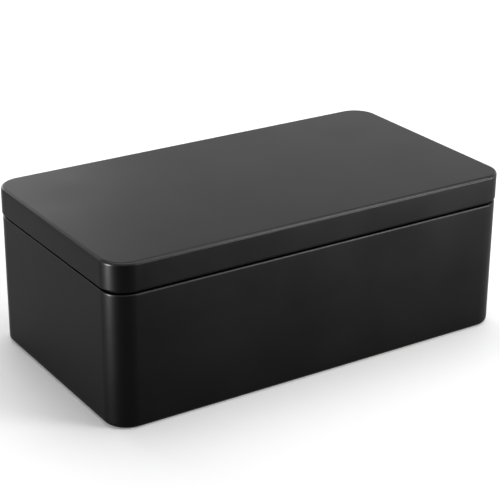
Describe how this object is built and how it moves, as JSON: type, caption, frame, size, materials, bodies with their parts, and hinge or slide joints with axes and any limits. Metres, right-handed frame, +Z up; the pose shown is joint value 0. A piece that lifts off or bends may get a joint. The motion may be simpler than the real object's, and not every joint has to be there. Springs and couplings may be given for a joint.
{
  "type": "tin box",
  "caption": "Rectangular sheet-metal tin with rounded corners, a rolled foot, a set-in neck and a flush lid that lifts straight off; keeps food or small household things.",
  "frame": {"origin": "middle of the foot, on the surface that the tin stands on", "axes": "+X along the length, +Y to the back where the lock seam is, +Z up"},
  "size_m": [0.2186, 0.1206, 0.0805],
  "materials": {
    "black_lacquer": "satin black lacquer on tinplate, bare tinplate inside",
    "bare_tinplate": "satin bare tinplate"
  },
  "bodies": {
    "tin": {"body_wall": "black_lacquer", "bottom_panel": "bare_tinplate"},
    "lid": {"lid": "black_lacquer"}
  },
  "joints": [
    {"name": "lid_lift", "type": "slide", "parent": "tin", "child": "lid", "axis": [0, 0, 1], "range_m": [0, 0.12]}
  ]
}
